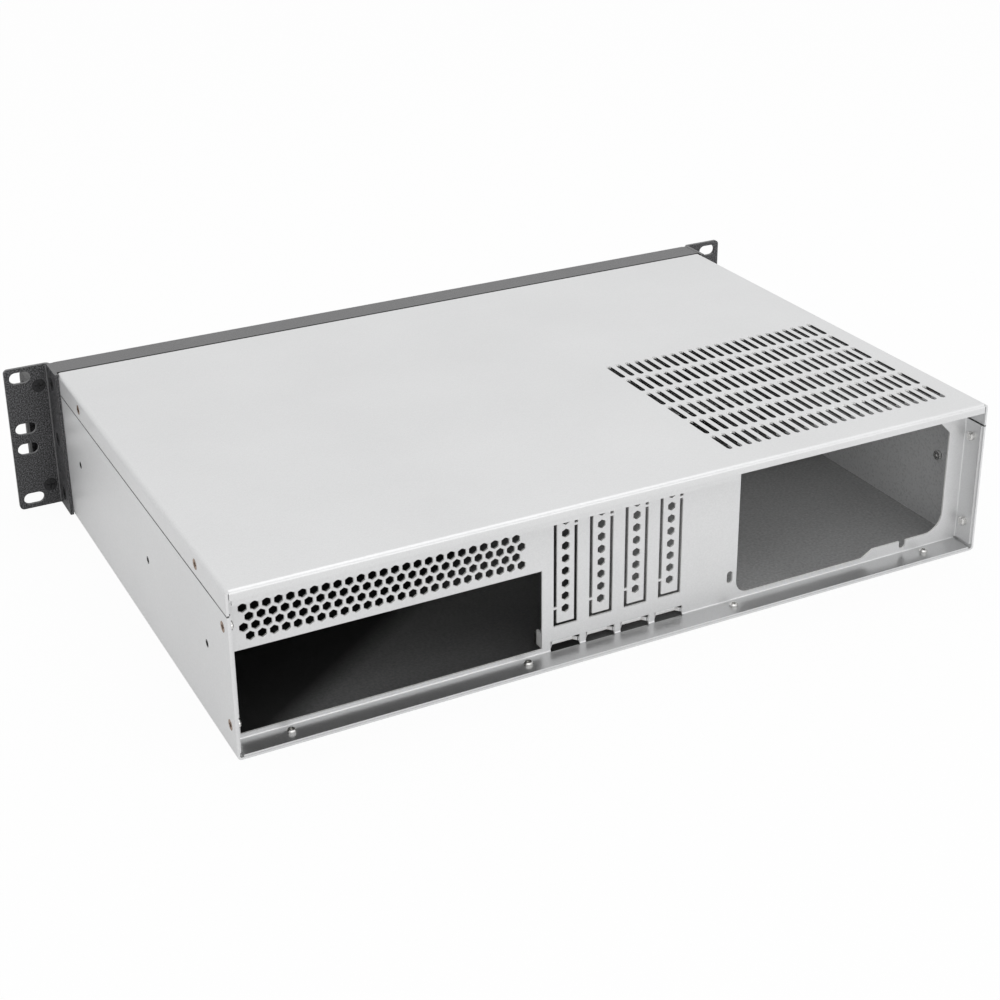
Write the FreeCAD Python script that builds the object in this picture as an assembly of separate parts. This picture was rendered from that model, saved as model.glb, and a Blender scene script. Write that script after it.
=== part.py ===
import FreeCAD, Part
import math
import os

from FreeCAD import Placement, Rotation, Vector

# Empty 2U rackmount server case: a zinc-plated folded tray, a screwed-on cover with a vent over the power
# supply bay, a recessed rear panel, and a black front panel between two rack ears with handles.
# Millimetres, +Z up. X runs across the case and Y from front to back. Every depth below is measured from the
# rack plane, the rear face of the ears that lies on the rack's rails, and export() moves the origin under the
# middle of the whole case.

# Overall sizes, after the 19 inch rack standard
PANEL_WIDTH = 482.6
EAR_WIDTH = 26.3
EAR_OVER_BODY = 0.1
RACK_SLOT_SIDE_INSET = 8.75
RACK_SLOT_END_INSET = 5.95
RACK_INNER_PITCH = 12.7
RACK_SLOT_LENGTH = 12.0
RACK_SLOT_WIDTH = 7.0
BODY_HEIGHT = 88.0
BODY_DEPTH = 300.0

# Sheet metal: tray and cover, rear panel, front panel, ears
TRAY_SHEET = 1.2
REAR_SHEET = 1.0
FRONT_SHEET = 1.5
EAR_SHEET = 2.0
BEND_RADIUS = 0.8
TOUCH = 0.1
SEAM = 0.4

# Fasteners
M3 = 3.0
M3_HEAD = 5.4
M3_LENGTH = 5.0
M3_MIDDLE = 4.0
M3_SHORT = 2.0
M4 = 4.0
M4_HEAD = 8.0
M4_LENGTH = 12.0
M4_SHORT = 6.0
PAN_HEAD = 4.6
PAN_HEIGHT = 1.8
PAN_BEVEL = 0.6
CROSS_WIDTH = 0.8
CROSS_SPAN = 0.55
CROSS_DEPTH = 0.9
SCREW_CLEARANCE = 0.1
TAPPED_M3 = 2.5
POST_WIDTH = 5.5
SPIGOT_LENGTH = 1.0
SPIGOT_WIDTH = 3.0

# Front panel, ears and handles
RETURN_DEPTH = 16.8
TONGUE_FRONT = 4.0
TONGUE_LOW_Z = 5.0
TONGUE_DROP = 4.0
WALL_RETURN = 10.0
EAR_FLANGE_DEPTH = 20.0
EAR_CORNER = 2.5
EAR_SCREW_Y = 9.0
EAR_SCREW_END_INSET = 9.55
HANDLE_REACH = 28.0
HANDLE_BAR = 7.0
HANDLE_WIDTH = 10.0
HANDLE_END_INSET = 12.55
HANDLE_FROM_SIDE = 7.3
HANDLE_OUTER_RADIUS = 8.0
HANDLE_INNER_RADIUS = 3.0
HANDLE_EDGE = 1.2

# Cover, and the strips of the tray that its side flanges lie over
COVER_FLANGE = 12.2
COVER_LIP = 5.0
LIP_END_GAP = 0.6
VENT_COLUMNS = 24
VENT_ROWS = 6
VENT_PITCH_X = 6.0
VENT_PITCH_Y = 21.25
VENT_SLOT_WIDTH = 3.0
VENT_SLOT_LENGTH = 18.5
VENT_SIDE_INSET = 14.4
VENT_REAR_INSET = 18.35
COVER_SCREW_FRONT_Y = 59.0
COVER_SCREW_REAR_INSET = 42.4
COVER_SCREW_DROP = 6.4
STRIP_STEP_HEIGHT = 0.8
STRIP_FROM_FRONT = 10.0
STRIP_FROM_REAR = 16.0

# Side wall: slide rail fixings, and the screws of the rear panel
RAIL_FRONT_Y = 50.3
RAIL_MIDDLE_REAR_INSET = 124.3
RAIL_REAR_INSET = 33.3
RAIL_DROP = 43.5
RAIL_NUT_WIDTH = 5.2
RAIL_NUT_HEIGHT = 1.8
RAIL_SPIGOT_WIDTH = 4.0
REAR_SCREW_INSET = 7.4
REAR_SCREW_LOW_Z = 15.2
REAR_SCREW_SEAM_DROP = 8.9
REAR_NUT_WIDTH = 5.0
REAR_NUT_HEIGHT = 2.5
REAR_NUT_BORE = 2.0
REAR_NUT_BEVEL = 0.7
FLOOR_SCREW_SIDE_INSET = 29.1
FLOOR_SCREW_INNER_X = 60.8

# Rear panel: flanges, honeycomb vent and input-output opening
REAR_RECESS = 13.0
TOP_FLANGE_DROP = 7.0
TOP_FLANGE_PAST_SUPPLY = 9.0
FLANGE_END_GAP = 1.0
LIP_STANDOFF = 0.3
HEX_COLUMNS = 25
HEX_ROWS = 4
HEX_PITCH = 5.8
HEX_FLATS = 4.3
HEX_SIDE_INSET = 11.55
HEX_OVER_OPENING = 6.2
IO_WIDTH = 158.75
IO_HEIGHT = 44.45
IO_SIDE_INSET = 6.25
IO_BOTTOM_Z = 4.7
IO_TAB_HEIGHT = 8.4
IO_TAB_DEPTH = 6.0

# Rear panel: card slot blanks, each held by two small bridges, with a tail opening below
SLOT_COUNT = 4
SLOT_PITCH = 20.32
SLOT_FROM_OPENING = 13.2
SLOT_WIDTH = 13.5
SLOT_LINE = 1.9
SLOT_BOTTOM_Z = 15.6
SLOT_TOP_DROP = 8.0
SLOT_HEX_COUNT = 8
SLOT_HEX_LOW_Z = 24.9
SLOT_HEX_TOP_DROP = 6.1
BRIDGE = 1.2
BRIDGE_LEFT_Z = 26.0
BRIDGE_RIGHT_DROP = 9.3
TAIL_WIDTH = 16.8
TAIL_TOP_Z = 7.6
TAIL_RUN_OUT = 1.2
TAIL_GUIDE_Z = 3.7
TAIL_GUIDE_HEIGHT = 1.9
TAIL_GUIDE_OFFSET = 3.2
TAIL_GUIDE_SLOPE = 2.8

# Rear panel: power supply opening, with two of the supply's fixing holes along its lower edge
PSU_FROM_SLOTS = 41.44
PSU_SIDE_INSET = 13.0
PSU_BOTTOM_Z = 5.0
PSU_TOP_DROP = 7.5
PSU_STEP_FROM_RIGHT = 54.0
PSU_STEP_RUN = 7.2
PSU_STEP_RISE = 4.3
PSU_LEFT_RADIUS = 8.0
PSU_RIGHT_RADIUS = 11.0
PSU_SMALL_RADIUS = 2.0
PSU_CHAMFER = 11.6
PSU_HOLE_FROM_LEFT = 4.2
PSU_HOLE_Z = 16.4
PSU_HOLE_WIDTH = 3.5
PSU_HOLE_LENGTH = 7.0
PSU_NOTCH_FROM_RIGHT = 26.6
PSU_NOTCH_WIDTH = 4.4
PSU_NOTCH_DEPTH = 4.7

# Board standoffs, after the micro-ATX hole pattern: across from the hole nearest the side wall, and forward
# from the rearmost row, in a bay of the depth given
STANDOFF_HEIGHT = 6.35
STANDOFF_BORE = 5.0
BOARD_SIDE_INSET = 12.6
BOARD_HOLE_FORWARD = 11.2
BOARD_BAY_DEPTH = 268.8
BOARD_HOLES = (
    (0.0, 22.86),
    (157.48, 0.0),
    (203.2, 0.0),
    (0.0, 154.94),
    (157.48, 154.94),
    (203.2, 154.94),
    (0.0, 227.33),
    (157.48, 227.33),
)

# Front intake slots, and the fan places behind them
FAN_SIDE_INSET = 46.0
FAN_PITCH = 82.0
FAN_BORE_MARGIN = 6.0
FAN_HOLE_INWARD = 2.25
FAN_HOLE = 4.4
INTAKE_SLOTS = 9
INTAKE_PITCH = 8.0
INTAKE_WIDTH = 3.6
INTAKE_MARGIN = 11.0
INTAKE_SHORTER = 6.0

# Control cluster at the front: a board with two buttons, two lamps and two sockets, placed from its middle
CONTROL_SIDE_INSET = 55.0
CONTROL_WIDTH = 76.0
CONTROL_HEIGHT = 34.0
CONTROL_BOARD = 1.6
CONTROL_BOARD_Y = 8.4
SPACER_INSET = 4.0
SPACER_BORE = 4.5
CABLE_HOLE_WIDTH = 40.0
CABLE_HOLE_HEIGHT = 14.0
POWER_X = 26.0
POWER_DIAMETER = 12.0
RESET_X = 8.0
RESET_DIAMETER = 5.0
BUTTON_PROUD = 2.0
BUTTON_RIM = 1.0
BUTTON_EDGE = 0.4
BUTTON_STEM = 3.0
BUTTON_CLEARANCE = 0.3
SWITCH_WIDTH = 8.0
SWITCH_DEPTH = 4.0
SWITCH_BACK = 0.4
STEM_OVERLAP = 1.0
LAMP_X = -6.0
LAMP_PITCH = 9.0
LAMP_DIAMETER = 3.0
LAMP_PROUD = 0.6
LAMP_COLLAR = 4.0
PORT_X = -23.0
PORT_PITCH = 11.0
PORT_WIDTH = 13.1
PORT_HEIGHT = 5.7
PORT_WALL = 0.4
PORT_TONGUE_WIDTH = 11.0
PORT_TONGUE = 1.9
PORT_TONGUE_INSET = 1.2

# Drive bracket on the floor beside the board
BRACKET_SIDE_INSET = 85.0
BRACKET_Y = 92.0
BRACKET_WIDTH = 110.0
BRACKET_DEPTH = 84.0
BRACKET_HEIGHT = 34.0
BRACKET_FOOT = 13.0
DRIVE_HOLE_X = 61.7
DRIVE_HOLE_Y = 76.6

# Places worked out from the sizes above
half_panel = PANEL_WIDTH / 2
half_width = half_panel - EAR_WIDTH
ear_height = BODY_HEIGHT + EAR_OVER_BODY
middle_z = ear_height / 2
front_y = -EAR_SHEET
tray_front = RETURN_DEPTH + SEAM
seam_z = BODY_HEIGHT - COVER_FLANGE
inner_x = half_width - TRAY_SHEET
panel_y = BODY_DEPTH - REAR_RECESS
panel_front = panel_y - REAR_SHEET
tongue_x = half_width - FRONT_SHEET
switch_front = CONTROL_BOARD_Y - SWITCH_DEPTH
handle_x = half_width + HANDLE_FROM_SIDE
handle_screw_rise = middle_z - HANDLE_END_INSET
io_right_x = half_width - IO_SIDE_INSET - IO_WIDTH
io_top_z = IO_BOTTOM_Z + IO_HEIGHT
slot_top_z = BODY_HEIGHT - SLOT_TOP_DROP
slot_xs = [io_right_x - SLOT_FROM_OPENING - k * SLOT_PITCH for k in range(SLOT_COUNT)]
psu_left_x = slot_xs[-1] - PSU_FROM_SLOTS
psu_right_x = PSU_SIDE_INSET - half_width
fan_xs = (FAN_SIDE_INSET + FAN_PITCH - half_width, FAN_SIDE_INSET - half_width)
fan_bore = BODY_HEIGHT - 2 * FAN_BORE_MARGIN
fan_hole_reach = fan_bore / 2 - FAN_HOLE_INWARD
control_x = half_width - CONTROL_SIDE_INSET
control_z = BODY_HEIGHT / 2
bracket_x = BRACKET_SIDE_INSET - half_width
origin_shift = HANDLE_REACH - (HANDLE_REACH + BODY_DEPTH) / 2
screw_hole = M3 + 2 * SCREW_CLEARANCE
ear_hole = M4 + 2 * SCREW_CLEARANCE
LEFTWARD = Vector(-1, 0, 0)
SIDEWAYS = Vector(1, 0, 0)
BACKWARD = Vector(0, 1, 0)
FORWARD = Vector(0, -1, 0)
UPWARD = Vector(0, 0, 1)
DOWNWARD = Vector(0, 0, -1)


def box(x0, x1, y0, y1, z0, z1):
    """A block between two corners."""
    return Part.makeBox(x1 - x0, y1 - y0, z1 - z0, Vector(x0, y0, z0))


def rod(diameter, length, start, axis):
    """A round rod from a start point along an axis."""
    return Part.makeCylinder(diameter / 2, length, start, axis)


def placed(shape, place, axis):
    """A shape built along +Z from the origin, set at a place with its +Z along axis."""
    moved = shape.copy()
    moved.Placement = Placement(place, Rotation(UPWARD, axis))
    return moved


def mirrored(shape):
    """The same piece on the other side of the case."""
    return shape.mirror(Vector(0, 0, 0), SIDEWAYS)


def both_sides(shapes):
    """Each shape and its mirror image."""
    return shapes + [mirrored(s) for s in shapes]


def rounded_side(points, radii):
    """Edges along a polyline whose corners are tangent arcs of the given radii."""
    edges = []
    last = points[0]
    for before, corner, after, radius in zip(points, points[1:], points[2:], radii):
        arrive = (corner - before).normalize()
        leave = (after - corner).normalize()
        turn = arrive.getAngle(leave)
        reach = radius * math.tan(turn / 2)
        start = corner - arrive * reach
        end = corner + leave * reach
        inward = (leave - arrive).normalize()
        middle = corner + inward * (radius / math.cos(turn / 2) - radius)
        if not start.isEqual(last, TOUCH / 100):
            edges.append(Part.makeLine(last, start))
        edges.append(Part.Arc(start, middle, end).toShape())
        last = end
    if not last.isEqual(points[-1], TOUCH / 100):
        edges.append(Part.makeLine(last, points[-1]))
    return edges


def folded(path, thickness, place, extent):
    """Folded sheet: its section follows a path of (u, v) points, with the metal on the path's left and a
    true bend at each corner. place turns (u, v) into a point, and extent is the vector it runs along."""
    flat = [Vector(u, v, 0) for u, v in path]
    ways = [(b - a).normalize() for a, b in zip(flat, flat[1:])]
    normals = [Vector(-w.y, w.x, 0) for w in ways]
    far = [flat[0] + normals[0] * thickness]
    near_radii = []
    far_radii = []
    for i in range(1, len(flat) - 1):
        a = normals[i - 1]
        b = normals[i]
        far.append(flat[i] + (a + b) * (thickness / (1 + a.dot(b))))
        turns_left = ways[i - 1].cross(ways[i]).z > 0
        near_radii.append(BEND_RADIUS + (thickness if turns_left else 0))
        far_radii.append(BEND_RADIUS + (0 if turns_left else thickness))
    far.append(flat[-1] + normals[-1] * thickness)
    near_points = [place(p.x, p.y) for p in flat]
    far_points = [place(p.x, p.y) for p in far]
    edges = rounded_side(near_points, near_radii) + rounded_side(far_points, far_radii)
    edges.append(Part.makeLine(near_points[0], far_points[0]))
    edges.append(Part.makeLine(near_points[-1], far_points[-1]))
    return Part.Face(Part.Wire(Part.__sortEdges__(edges))).extrude(extent)


def across(y):
    """Places a section drawn as (x, z) at a depth."""
    return lambda u, v: Vector(u, y, v)


def along_depth(x):
    """Places a section drawn as (y, z) at a place across the case."""
    return lambda u, v: Vector(x, u, v)


def in_plan(z):
    """Places a section drawn as (x, y) at a height."""
    return lambda u, v: Vector(u, v, z)


def prism(points, extent):
    """A straight prism on a closed polygon."""
    return Part.Face(Part.makePolygon(points + [points[0]])).extrude(extent)


def obround(width, length, centre, along, axis, depth):
    """A slot cutter with round ends: its long side lies along one direction and it is cut along axis."""
    reach = along * ((length - width) / 2)
    side = along.cross(axis) * (width / 2)
    tip = along * (width / 2)
    start = centre - reach
    end = centre + reach
    edges = [
        Part.makeLine(start + side, end + side),
        Part.Arc(end + side, end + tip, end - side).toShape(),
        Part.makeLine(end - side, start - side),
        Part.Arc(start - side, start - tip, start + side).toShape(),
    ]
    return Part.Face(Part.Wire(edges)).extrude(axis * depth)


def vent_slot(width, length, centre, along, axis, depth):
    """The cutter of one slot of a vent. It repeats, so its ends have three flats each in place of an arc."""
    side = along.cross(axis)
    radius = width / 2
    reach = length / 2 - radius
    points = []
    for way in (1, -1):
        for angle in (90, 30, -30, -90):
            out = radius * math.cos(math.radians(angle))
            aside = radius * math.sin(math.radians(angle))
            points.append(centre + (along * (reach + out) + side * aside) * way)
    return prism(points, axis * depth)


def hexagon(width, length):
    """A hexagonal bar along +Z, measured across its flats, with a corner towards +Y."""
    radius = width / math.sqrt(3)
    angles = [math.radians(90 + 60 * k) for k in range(6)]
    points = [Vector(radius * math.cos(a), radius * math.sin(a), 0) for a in angles]
    return prism(points, UPWARD * length)


def rear_hexagon(x, z):
    """The cutter of one hexagonal hole through the rear panel, with a corner up."""
    return placed(hexagon(HEX_FLATS, 3 * REAR_SHEET), Vector(x, panel_y + REAR_SHEET, z), FORWARD)


def cross_recess(head):
    """The cross-shaped driver recess in a screw head of this width, opening at the origin along +Z."""
    reach = head * CROSS_SPAN / 2
    half = CROSS_WIDTH / 2
    bar = box(-reach, reach, -half, half, -TOUCH, CROSS_DEPTH)
    return bar.fuse(box(-half, half, -reach, reach, -TOUCH, CROSS_DEPTH))


def countersunk_screw(head, shank, length, place, axis):
    """A countersunk screw: place is the middle of its flush head, axis points into the metal."""
    cone = Part.makeCone(head / 2, shank / 2, (head - shank) / 2)
    body = cone.fuse(Part.makeCylinder(shank / 2, length)).removeSplitter()
    return placed(body.cut(cross_recess(head)), place, axis)


def countersunk_hole(head, shank, length, place, axis):
    """The clearance hole of a countersunk screw."""
    wide = head / 2 + SCREW_CLEARANCE
    narrow = shank / 2 + SCREW_CLEARANCE
    cone = Part.makeCone(wide, narrow, wide - narrow)
    return placed(cone.fuse(Part.makeCylinder(narrow, length)), place, axis)


def pan_screw(length, place, axis):
    """An M3 pan-head screw: place is under the middle of its head, axis points into the metal."""
    head = Part.makeCylinder(PAN_HEAD / 2, PAN_HEIGHT)
    rim = [e for e in head.Edges if e.CenterOfMass.Length < TOUCH]
    head = head.makeChamfer(PAN_BEVEL, rim).cut(cross_recess(PAN_HEAD))
    body = head.fuse(rod(M3, length, UPWARD * PAN_HEIGHT, UPWARD))
    return placed(body, place - axis * PAN_HEIGHT, axis)


def threaded_post(height, bore, bore_depth, place, axis):
    """A hexagonal post with a spigot in the sheet it stands on, and a blind bore in its free end."""
    post = hexagon(POST_WIDTH, height).fuse(rod(SPIGOT_WIDTH, SPIGOT_LENGTH, Vector(0, 0, 0), DOWNWARD))
    return placed(post.cut(rod(bore, bore_depth, UPWARD * height, DOWNWARD)), place, axis)


def export(name, shapes):
    """Writes one node, moved so that the origin lies under the middle of the case."""
    shape = shapes[0] if len(shapes) == 1 else Part.makeCompound(shapes)
    shape = shape.copy()
    shape.translate(BACKWARD * origin_shift)
    shape.exportStep(os.path.join("parts", name + ".step"))
    sound = all(s.isValid() and s.Volume > 0 for s in shape.Solids)
    print("%-18s %2d solids %9.1f mm3, sound: %s" % (name, len(shape.Solids), shape.Volume, sound))


def cover_screw_places():
    """Middles of the cover's screw heads on the +X side."""
    ys = (COVER_SCREW_FRONT_Y, BODY_DEPTH - COVER_SCREW_REAR_INSET)
    return [Vector(half_width, y, BODY_HEIGHT - COVER_SCREW_DROP) for y in ys]


def rear_screw_places():
    """Middles of the screw heads that hold the rear panel through the +X side wall."""
    zs = (REAR_SCREW_LOW_Z, seam_z - REAR_SCREW_SEAM_DROP)
    return [Vector(half_width, BODY_DEPTH - REAR_SCREW_INSET, z) for z in zs]


def floor_screw_places():
    """Where the rear panel's lower flange is screwed down, on the floor's top face."""
    outer = half_width - FLOOR_SCREW_SIDE_INSET
    xs = (-outer, -FLOOR_SCREW_INNER_X, FLOOR_SCREW_INNER_X, outer)
    return [Vector(x, BODY_DEPTH - REAR_SCREW_INSET, TRAY_SHEET) for x in xs]


def ear_screw_places():
    """Middles of the screw heads in the flange of the +X ear."""
    pitch = middle_z - EAR_SCREW_END_INSET
    return [Vector(half_width + EAR_SHEET, EAR_SCREW_Y, middle_z + k * pitch) for k in (-1, 0, 1)]


def handle_screw_places():
    """Middles of the screw heads behind the plate of the +X ear."""
    return [Vector(handle_x, 0, middle_z + k * handle_screw_rise) for k in (-1, 1)]


def rail_hole_places():
    """Rail fixings on the outer face of the +X side wall."""
    ys = (RAIL_FRONT_Y, BODY_DEPTH - RAIL_MIDDLE_REAR_INSET, BODY_DEPTH - RAIL_REAR_INSET)
    return [Vector(half_width, y, BODY_HEIGHT - RAIL_DROP) for y in ys]


def board_hole_places():
    """Feet of the board standoffs on the floor."""
    first_x = half_width - BOARD_SIDE_INSET
    first_y = panel_y - BOARD_HOLE_FORWARD
    stretch = (panel_front - tray_front) / BOARD_BAY_DEPTH
    return [Vector(first_x - x, first_y - y * stretch, TRAY_SHEET) for x, y in BOARD_HOLES]


def bracket_foot_places():
    """Screw places of the drive bracket's feet, on the floor's top face."""
    x_reach = BRACKET_WIDTH / 2 + REAR_SHEET + BRACKET_FOOT / 2
    y_reach = BRACKET_DEPTH / 2 - BRACKET_FOOT / 2
    return [
        Vector(bracket_x + sx * x_reach, BRACKET_Y + sy * y_reach, TRAY_SHEET)
        for sx in (-1, 1)
        for sy in (-1, 1)
    ]


def control_corner_places(y):
    """The four fixing places of the control board, at a depth."""
    x_reach = CONTROL_WIDTH / 2 - SPACER_INSET
    z_reach = CONTROL_HEIGHT / 2 - SPACER_INSET
    return [
        Vector(control_x + sx * x_reach, y, control_z + sz * z_reach)
        for sx in (-1, 1)
        for sz in (-1, 1)
    ]


def lamp_place(side):
    """Middle of the upper lamp with side 1 and of the lower one with side -1, on the panel's face."""
    return Vector(control_x + LAMP_X, front_y, control_z + side * LAMP_PITCH / 2)


def port_places():
    """Middles of the two sockets, on the panel's face."""
    return [Vector(control_x + PORT_X, front_y, control_z + s * PORT_PITCH / 2) for s in (-1, 1)]


def button_places():
    """Middle and width of the power button and of the reset button, on the panel's face."""
    power = Vector(control_x + POWER_X, front_y, control_z)
    reset = Vector(control_x + RESET_X, front_y, control_z)
    return [(power, POWER_DIAMETER), (reset, RESET_DIAMETER)]


def tray_strip():
    """The strip above the +X wall, stepped inwards so that the cover's flange lies flush over it, and the
    groove that the step leaves in the wall."""
    outer = half_width - TRAY_SHEET - TOUCH
    inner = outer - TRAY_SHEET
    wall_top = seam_z - TOUCH
    step = wall_top - STRIP_STEP_HEIGHT
    top = BODY_HEIGHT - TRAY_SHEET - SEAM
    y = tray_front + STRIP_FROM_FRONT
    run = BACKWARD * (BODY_DEPTH - STRIP_FROM_REAR - y)
    section = [
        Vector(half_width, y, step - TRAY_SHEET),
        Vector(half_width, y, step),
        Vector(outer, y, wall_top),
        Vector(outer, y, top),
        Vector(inner, y, top),
        Vector(inner, y, wall_top - TRAY_SHEET / 2),
        Vector(inner_x, y, step - TRAY_SHEET),
    ]
    past = half_width + TOUCH
    groove = [section[1], section[2], Vector(past, y, wall_top), Vector(past, y, step)]
    return prism(section, run), prism(groove, run)


def tray_tongue():
    """The tongue that runs forward from the +X wall, inside the side return of the front panel."""
    inner = tongue_x - TRAY_SHEET
    back = tray_front + TRAY_SHEET
    wall_high = seam_z - TRAY_SHEET
    plate = box(inner, tongue_x, TONGUE_FRONT, RETURN_DEPTH, TONGUE_LOW_Z, BODY_HEIGHT - TONGUE_DROP)
    root = box(inner, tongue_x, RETURN_DEPTH, back, TONGUE_LOW_Z, wall_high)
    step = box(inner, half_width, tray_front, back, TONGUE_LOW_Z, wall_high)
    return plate.fuse([root, step])


def base_tray():
    """The floor, both side walls and the front wall, folded from one sheet."""
    wall_top = seam_z - TOUCH
    path = [(-half_width, wall_top), (-half_width, 0), (half_width, 0), (half_width, wall_top)]
    tray = folded(path, TRAY_SHEET, across(tray_front), BACKWARD * (BODY_DEPTH - tray_front))
    strip, groove = tray_strip()
    # The front wall stands on the floor's front edge and is turned back under the cover
    wall_x = tongue_x - TRAY_SHEET - SEAM
    bend = BEND_RADIUS + TRAY_SHEET
    wall_path = [
        (tray_front + WALL_RETURN, BODY_HEIGHT - TRAY_SHEET),
        (tray_front, BODY_HEIGHT - TRAY_SHEET),
        (tray_front, 0),
        (tray_front + bend + TOUCH, 0),
    ]
    front_wall = folded(wall_path, TRAY_SHEET, along_depth(-wall_x), SIDEWAYS * 2 * wall_x)
    room = box(-wall_x, wall_x, tray_front, tray_front + bend, 0, TRAY_SHEET)
    tray = tray.cut([room] + both_sides([groove]))
    tray = tray.fuse(both_sides([strip, tray_tongue()]) + [front_wall])
    through = 4 * TRAY_SHEET
    sides = [rod(screw_hole, M3_LENGTH, p, LEFTWARD) for p in cover_screw_places()]
    sides += [countersunk_hole(M3_HEAD, M3, M3_MIDDLE, p, LEFTWARD) for p in rear_screw_places()]
    sides += [rod(ear_hole, M4_LENGTH, p, LEFTWARD) for p in ear_screw_places()]
    sides += [rod(RAIL_SPIGOT_WIDTH + TOUCH, through, p, LEFTWARD) for p in rail_hole_places()]
    cuts = both_sides(sides)
    for place in floor_screw_places() + bracket_foot_places() + board_hole_places():
        cuts.append(rod(screw_hole, 2 * TRAY_SHEET, place + UPWARD, DOWNWARD))
    front = tray_front - TRAY_SHEET
    for x in fan_xs:
        middle = Vector(x, front, BODY_HEIGHT / 2)
        cuts.append(rod(fan_bore, through, middle, BACKWARD))
        for dx in (-fan_hole_reach, fan_hole_reach):
            for dz in (-fan_hole_reach, fan_hole_reach):
                cuts.append(rod(FAN_HOLE, through, middle + Vector(dx, 0, dz), BACKWARD))
    cuts += [rod(screw_hole, through, p, BACKWARD) for p in control_corner_places(front)]
    centre = Vector(control_x, front, control_z)
    cuts.append(obround(CABLE_HOLE_HEIGHT, CABLE_HOLE_WIDTH, centre, SIDEWAYS, BACKWARD, through))
    return tray.cut(cuts).removeSplitter()


def top_cover():
    """The cover: side flanges over the tray's stepped strips, a rear lip, and the vent."""
    side_path = [(half_width, seam_z), (half_width, BODY_HEIGHT)]
    path = side_path + [(-x, z) for x, z in reversed(side_path)]
    cover = folded(path, TRAY_SHEET, across(tray_front), BACKWARD * (BODY_DEPTH - tray_front))
    lip_x = inner_x - LIP_END_GAP
    bend_y = BODY_DEPTH - TRAY_SHEET - BEND_RADIUS
    room = box(-lip_x, lip_x, bend_y, BODY_DEPTH, seam_z, BODY_HEIGHT)
    lip_low = BODY_HEIGHT - COVER_LIP
    lip_path = [(BODY_DEPTH, lip_low), (BODY_DEPTH, BODY_HEIGHT), (bend_y - TOUCH, BODY_HEIGHT)]
    lip = folded(lip_path, TRAY_SHEET, along_depth(-lip_x), SIDEWAYS * 2 * lip_x)
    cover = cover.cut(room).fuse(lip)
    above = BODY_HEIGHT + TRAY_SHEET
    cuts = []
    for row in range(VENT_ROWS):
        y = BODY_DEPTH - VENT_REAR_INSET - VENT_SLOT_LENGTH / 2 - row * VENT_PITCH_Y
        for column in range(VENT_COLUMNS):
            top = Vector(VENT_SIDE_INSET - half_width + column * VENT_PITCH_X, y, above)
            cuts.append(vent_slot(VENT_SLOT_WIDTH, VENT_SLOT_LENGTH, top, BACKWARD, DOWNWARD, 3 * TRAY_SHEET))
    cuts += both_sides([countersunk_hole(M3_HEAD, M3, M3_LENGTH, p, LEFTWARD) for p in cover_screw_places()])
    return cover.cut(cuts).removeSplitter()


def psu_opening():
    """The power supply opening with its stepped lower edge, and the U-shaped notch in that edge."""
    y = panel_front - REAR_SHEET
    depth = 3 * REAR_SHEET
    top_z = BODY_HEIGHT - PSU_TOP_DROP
    step_x = psu_right_x + PSU_STEP_FROM_RIGHT
    step_z = PSU_BOTTOM_Z + PSU_STEP_RISE
    corners = [
        (psu_left_x, top_z, PSU_SMALL_RADIUS),
        (psu_left_x, PSU_BOTTOM_Z, PSU_LEFT_RADIUS),
        (step_x, PSU_BOTTOM_Z, PSU_SMALL_RADIUS),
        (step_x - PSU_STEP_RUN, step_z, PSU_SMALL_RADIUS),
        (psu_right_x, step_z, PSU_RIGHT_RADIUS),
        (psu_right_x, top_z - PSU_CHAMFER, PSU_SMALL_RADIUS),
        (psu_right_x + PSU_CHAMFER, top_z, PSU_SMALL_RADIUS),
    ]
    start = Vector((psu_left_x + psu_right_x) / 2, y, top_z)
    points = [start] + [Vector(x, y, z) for x, z, radius in corners] + [start]
    edges = rounded_side(points, [radius for x, z, radius in corners])
    opening = Part.Face(Part.Wire(edges)).extrude(BACKWARD * depth)
    centre = Vector(psu_right_x + PSU_NOTCH_FROM_RIGHT, y, step_z)
    notch = obround(PSU_NOTCH_WIDTH, 2 * PSU_NOTCH_DEPTH, centre, UPWARD, BACKWARD, depth)
    return [opening, notch]


def slot_outline(x):
    """The punched lines round one card slot blank, with a small bridge left in each side line."""
    front = panel_front - REAR_SHEET
    back = panel_y + REAR_SHEET
    outer = SLOT_WIDTH / 2
    inner = outer - SLOT_LINE
    left_low = BRIDGE_LEFT_Z - BRIDGE / 2
    right_low = slot_top_z - BRIDGE_RIGHT_DROP - BRIDGE / 2
    base = box(x - outer, x + outer, front, back, SLOT_BOTTOM_Z, SLOT_BOTTOM_Z + SLOT_LINE)
    left = box(x + inner, x + outer, front, back, SLOT_BOTTOM_Z, left_low)
    right = box(x - outer, x - inner, front, back, SLOT_BOTTOM_Z, right_low)
    left_upper = box(x + inner, x + outer, front, back, left_low + BRIDGE, slot_top_z)
    right_upper = box(x - outer, x - inner, front, back, right_low + BRIDGE, slot_top_z)
    return [base.fuse([left, right]).removeSplitter(), left_upper, right_upper]


def tail_guide(x):
    """The strip across a bracket-tail opening, pushed inwards to guide the tail of a card bracket."""
    reach = TAIL_WIDTH / 2
    flat = reach - TAIL_GUIDE_SLOPE
    deep = panel_front - TAIL_GUIDE_OFFSET
    section = [
        (-reach, panel_front),
        (-reach, panel_y),
        (-flat, deep + REAR_SHEET),
        (flat, deep + REAR_SHEET),
        (reach, panel_y),
        (reach, panel_front),
        (flat, deep),
        (-flat, deep),
    ]
    points = [Vector(x + u, y, TAIL_GUIDE_Z) for u, y in section]
    return prism(points, UPWARD * TAIL_GUIDE_HEIGHT)


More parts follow.
